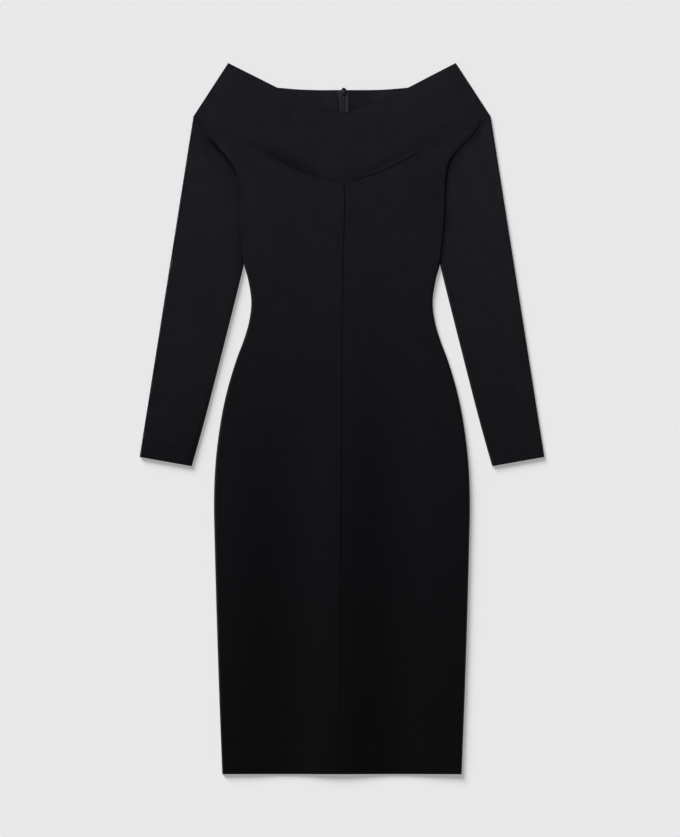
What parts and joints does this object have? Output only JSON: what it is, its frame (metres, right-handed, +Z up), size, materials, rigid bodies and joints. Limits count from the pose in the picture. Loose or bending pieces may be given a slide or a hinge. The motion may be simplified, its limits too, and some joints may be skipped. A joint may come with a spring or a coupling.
{
  "type": "knit midi dress",
  "caption": "Fitted off-the-shoulder knit midi dress laid flat, with a folded V band, long sleeves and a concealed back zip with a swinging pull tab.",
  "frame": {"origin": "centre of the dress's plan, on the surface that it lies on", "axes": "+Y from hem to neck, +X to the right as seen from above, +Z up from the surface through the front of the dress"},
  "size_m": [0.696, 1.2226, 0.0073],
  "materials": {
    "knit": "fine matt double knit, black",
    "band_knit": "fine matt double knit folded double, black",
    "zip_tape": "flat woven tape, black",
    "zip_coil": "moulded coil, black",
    "zip_metal": "black enamel"
  },
  "bodies": {
    "dress": {"front_left": "knit", "front_right": "knit", "back_left": "knit", "back_right": "knit", "sleeve_left": "knit", "sleeve_right": "knit", "band_front": "band_knit", "band_back_left": "band_knit", "band_back_right": "band_knit", "zip_tape_left": "zip_tape", "zip_tape_right": "zip_tape", "zip_chain": "zip_coil", "zip_stop": "zip_metal", "zip_slider": "zip_metal"},
    "pull_tab": {"zip_pull": "zip_metal"}
  },
  "joints": [
    {"name": "pull_swing", "type": "hinge", "parent": "dress", "child": "pull_tab", "pos_m": [0.00305, 0.5622, 0.0017], "axis": [1, 0, 0], "range_deg": [0, 175]}
  ]
}
